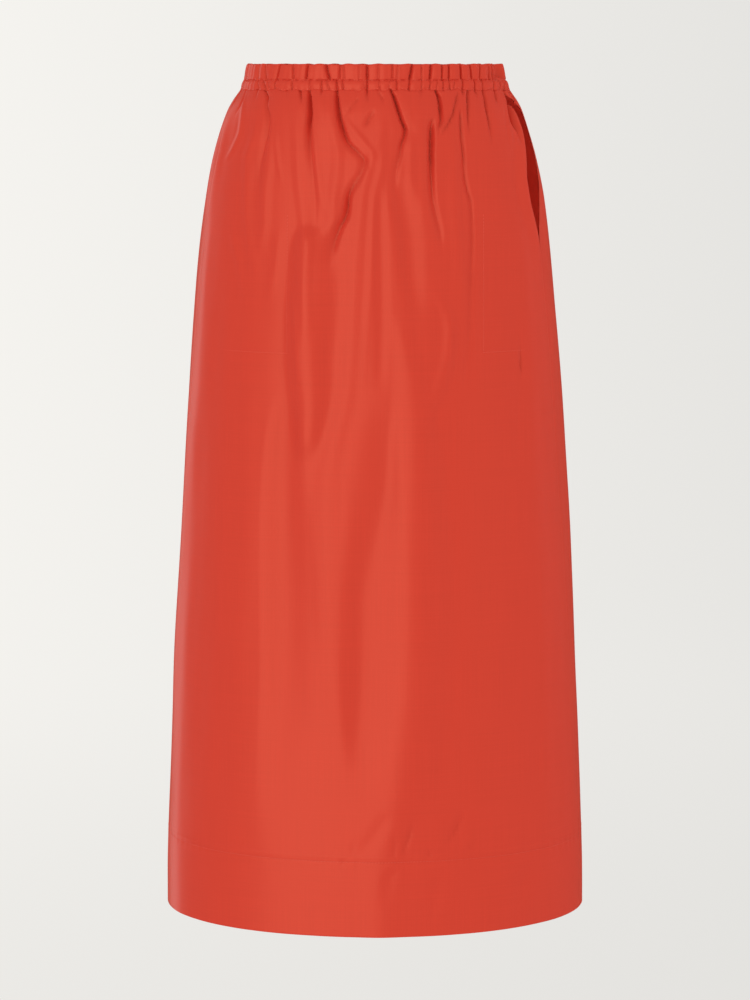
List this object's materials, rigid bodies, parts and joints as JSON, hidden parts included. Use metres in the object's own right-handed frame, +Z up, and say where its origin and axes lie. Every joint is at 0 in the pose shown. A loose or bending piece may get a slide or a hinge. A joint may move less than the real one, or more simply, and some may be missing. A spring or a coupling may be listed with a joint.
{
  "type": "midi skirt",
  "caption": "Long hollow skirt with a frilled elastic waist, gathered front and back, side-seam pockets and a deep turned-up hem.",
  "frame": {"origin": "middle of the waist opening, half-way down the elastic casing, where the wearer's waist holds the skirt", "axes": "+Z up, the front of the skirt faces -Y, and the wearer's left side is at +X"},
  "size_m": [0.4409, 0.335, 0.881],
  "materials": {
    "cloth": "crisp closely woven cotton with a faint sheen",
    "elastic": "ribbed woven elastic"
  },
  "bodies": {
    "root": {"front_panel": "cloth", "back_panel": "cloth", "waistband": "cloth", "pocket_bag_left": "cloth", "pocket_bag_right": "cloth", "elastic": "elastic"}
  },
  "joints": []
}
